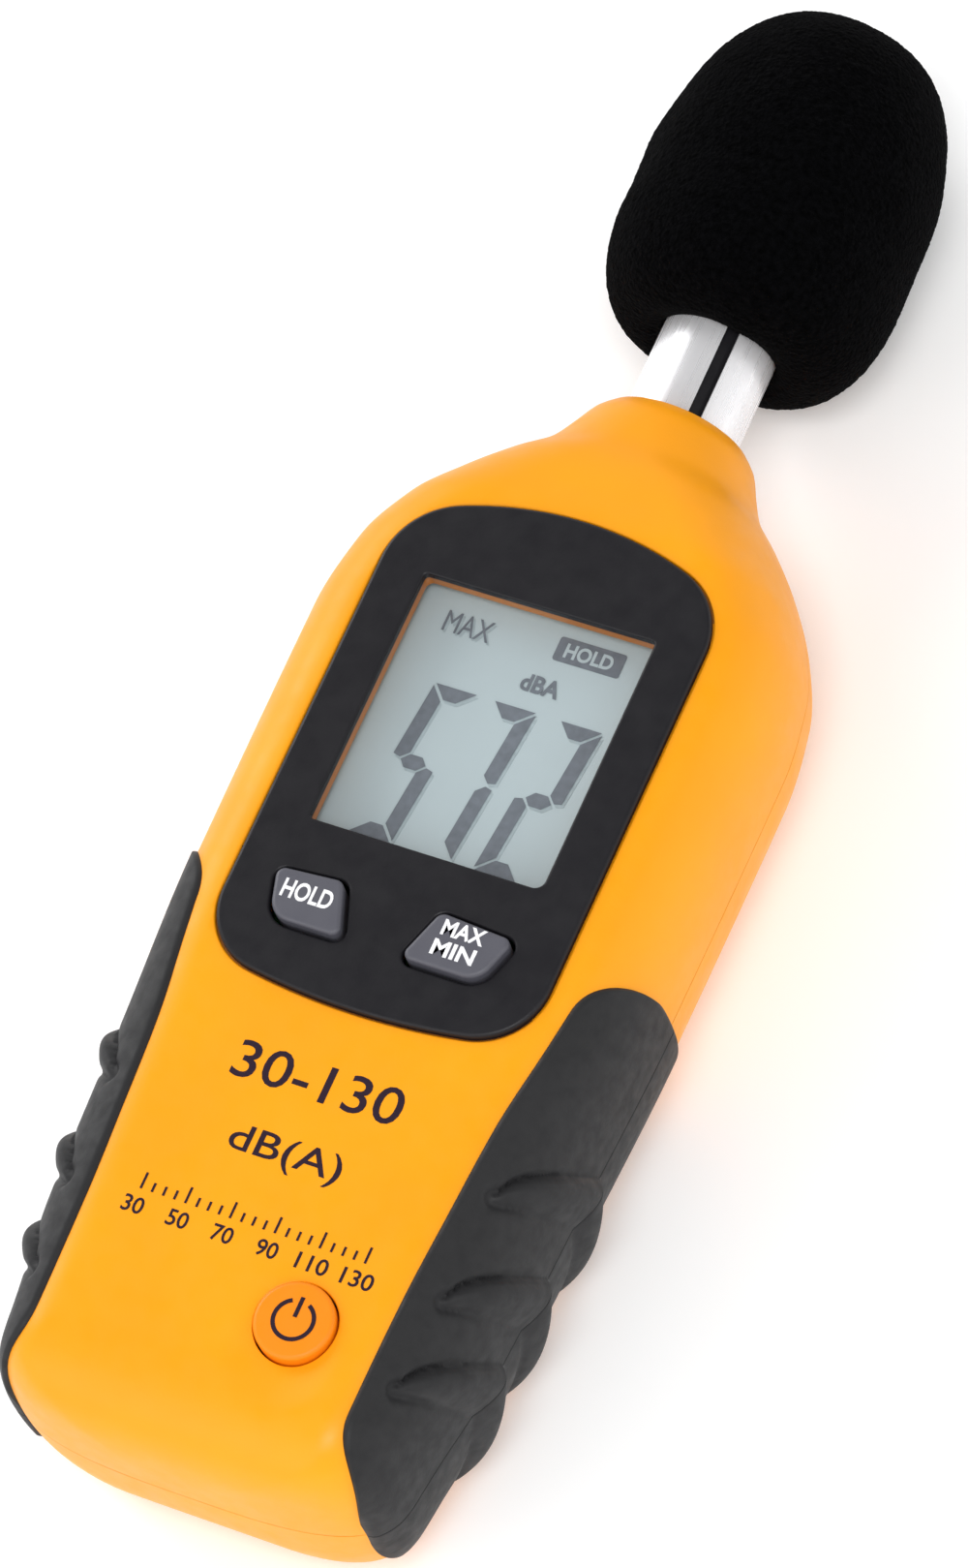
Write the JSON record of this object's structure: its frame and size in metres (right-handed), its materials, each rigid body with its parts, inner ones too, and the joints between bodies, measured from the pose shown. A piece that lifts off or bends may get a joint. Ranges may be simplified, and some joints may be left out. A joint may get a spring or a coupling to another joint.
{
  "type": "sound level meter",
  "caption": "Handheld sound level meter with an LCD window, press keys, rubber side grips, a sliding battery door and a foam windscreen over its microphone.",
  "frame": {"origin": "on the flat back, under the centre of the display window", "axes": "+Z out of the display, +Y towards the microphone, +X to the display's right"},
  "size_m": [0.0536, 0.1778, 0.032],
  "materials": {
    "orange_shell": "satin",
    "black_plastic": "satin",
    "key_grey": "matte",
    "key_orange": "satin",
    "grip_rubber": "matte",
    "silver_sleeve": "satin",
    "black_foam": "matte",
    "clear_lens": "gloss",
    "lcd_glass": "satin",
    "circuit_board": "satin",
    "screw_steel": "satin",
    "nickel_contact": "satin",
    "cell_wrap": "gloss",
    "red_insulation": "gloss"
  },
  "bodies": {
    "casing": {"front_shell": "orange_shell", "rear_shell": "orange_shell", "display_bezel": "black_plastic", "display_lens": "clear_lens", "lcd_panel": "lcd_glass", "lcd_frame": "black_plastic", "zebra_strip_upper": "grip_rubber", "zebra_strip_lower": "grip_rubber", "main_pcb": "circuit_board", "controller_chip": "black_plastic", "amplifier_chip": "black_plastic", "clock_crystal": "screw_steel", "level_trimmer": "key_grey", "supply_capacitor": "black_plastic", "mic_socket": "key_grey", "hold_switch": "black_plastic", "max_min_switch": "black_plastic", "power_switch": "black_plastic", "left_grip_front": "grip_rubber", "left_grip_rear": "grip_rubber", "right_grip_front": "grip_rubber", "right_grip_rear": "grip_rubber", "mic_sleeve": "silver_sleeve", "mic_insulator": "black_plastic", "mic_capsule": "nickel_contact", "mic_cap": "silver_sleeve", "mic_cable": "black_plastic", "battery_1": "cell_wrap", "battery_2": "cell_wrap", "battery_3": "cell_wrap", "battery_spring_1": "nickel_contact", "battery_spring_2": "nickel_contact", "battery_spring_3": "nickel_contact", "contact_lower_pair": "nickel_contact", "contact_lower_single": "nickel_contact", "contact_upper_pair": "nickel_contact", "contact_upper_single": "nickel_contact", "battery_wire_negative": "black_plastic", "battery_wire_positive": "red_insulation", "case_screw_1": "screw_steel", "case_screw_2": "screw_steel", "case_screw_3": "screw_steel", "case_screw_4": "screw_steel", "pcb_screw_1": "screw_steel", "pcb_screw_2": "screw_steel", "pcb_screw_3": "screw_steel", "pcb_screw_4": "screw_steel"},
    "hold_key": {"hold_button": "key_grey", "hold_plunger": "key_grey"},
    "max_min_key": {"max_min_button": "key_grey", "max_min_plunger": "key_grey"},
    "power_key": {"power_button": "key_orange", "power_plunger": "key_grey"},
    "door": {"battery_door": "orange_shell"},
    "foam": {"windscreen": "black_foam"}
  },
  "joints": [
    {"name": "hold_button_press", "type": "slide", "parent": "casing", "child": "hold_key", "axis": [0, 0, -1], "range_m": [0, 0.0006], "stiffness_N_per_m": 300},
    {"name": "max_min_button_press", "type": "slide", "parent": "casing", "child": "max_min_key", "axis": [0, 0, -1], "range_m": [0, 0.0006], "stiffness_N_per_m": 300},
    {"name": "power_button_press", "type": "slide", "parent": "casing", "child": "power_key", "axis": [0, 0, -1], "range_m": [0, 0.0006], "stiffness_N_per_m": 300},
    {"name": "battery_door_slide", "type": "slide", "parent": "casing", "child": "door", "axis": [0, -1, 0], "range_m": [0, 0.062]},
    {"name": "windscreen_pull", "type": "slide", "parent": "casing", "child": "foam", "axis": [0, 1, 0], "range_m": [0, 0.045]}
  ]
}
